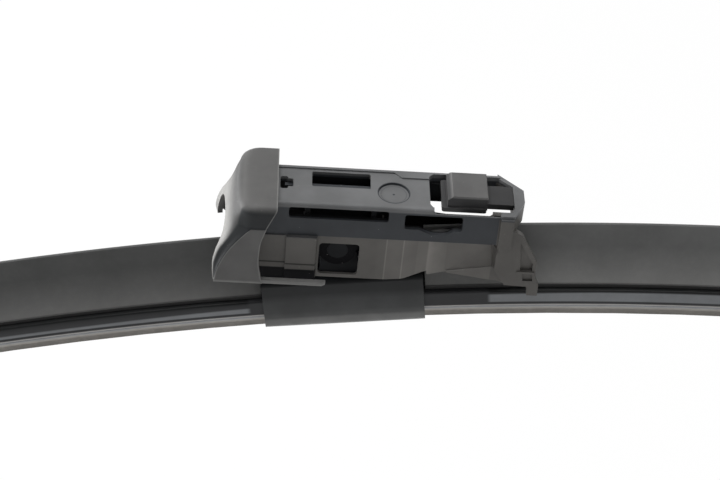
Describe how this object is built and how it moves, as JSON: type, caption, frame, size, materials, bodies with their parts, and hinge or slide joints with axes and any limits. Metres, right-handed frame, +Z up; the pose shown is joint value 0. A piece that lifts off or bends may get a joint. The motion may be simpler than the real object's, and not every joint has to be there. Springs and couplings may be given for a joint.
{
  "type": "windscreen wiper blade",
  "caption": "Flat bowed wiper blade with a rubber lip, split spoiler and a pivoting push-button adapter for a channel arm.",
  "frame": {"origin": "centre of the pivot pin that the adapter turns on, midway along the blade", "axes": "+X along the blade towards the release button, +Y across the blade away from the hollow face of the spoiler, +Z up, away from the glass"},
  "size_m": [0.5006, 0.0244, 0.0877],
  "materials": {
    "adapter_body": "moulded satin plastic",
    "end_hood": "moulded satin plastic",
    "release_button": "moulded satin plastic",
    "pivot_pin": "bright steel",
    "pivot_bracket": "pressed steel",
    "bracket_rivet_left": "bright steel",
    "bracket_rivet_right": "bright steel",
    "blade_clamp": "black coated steel",
    "carrier_profile": "extruded plastic with a slight sheen",
    "spring_rail_near": "spring steel",
    "spring_rail_far": "spring steel",
    "wiper_rubber": "matt rubber with a fine bloom",
    "spoiler_left": "firm matt elastomer",
    "spoiler_right": "firm matt elastomer",
    "end_cap_left": "moulded plastic",
    "end_cap_right": "moulded plastic"
  },
  "bodies": {
    "adapter": {"adapter_body": "adapter_body", "end_hood": "end_hood"},
    "button": {"release_button": "release_button"},
    "blade": {"pivot_pin": "pivot_pin", "pivot_bracket": "pivot_bracket", "bracket_rivet_left": "bracket_rivet_left", "bracket_rivet_right": "bracket_rivet_right", "blade_clamp": "blade_clamp", "carrier_profile": "carrier_profile", "spring_rail_near": "spring_rail_near", "spring_rail_far": "spring_rail_far", "wiper_rubber": "wiper_rubber", "spoiler_left": "spoiler_left", "spoiler_right": "spoiler_right", "end_cap_left": "end_cap_left", "end_cap_right": "end_cap_right"}
  },
  "joints": [
    {"name": "blade_pivot", "type": "hinge", "parent": "adapter", "child": "blade", "pos_m": [0, 0, 0], "axis": [0, 1, 0], "range_deg": [0, 16]},
    {"name": "button_press", "type": "hinge", "parent": "adapter", "child": "button", "pos_m": [0.04098, 0, 0.00707], "axis": [0, -1, 0], "range_deg": [0, 8], "stiffness_Nm_per_rad": 0.8}
  ]
}
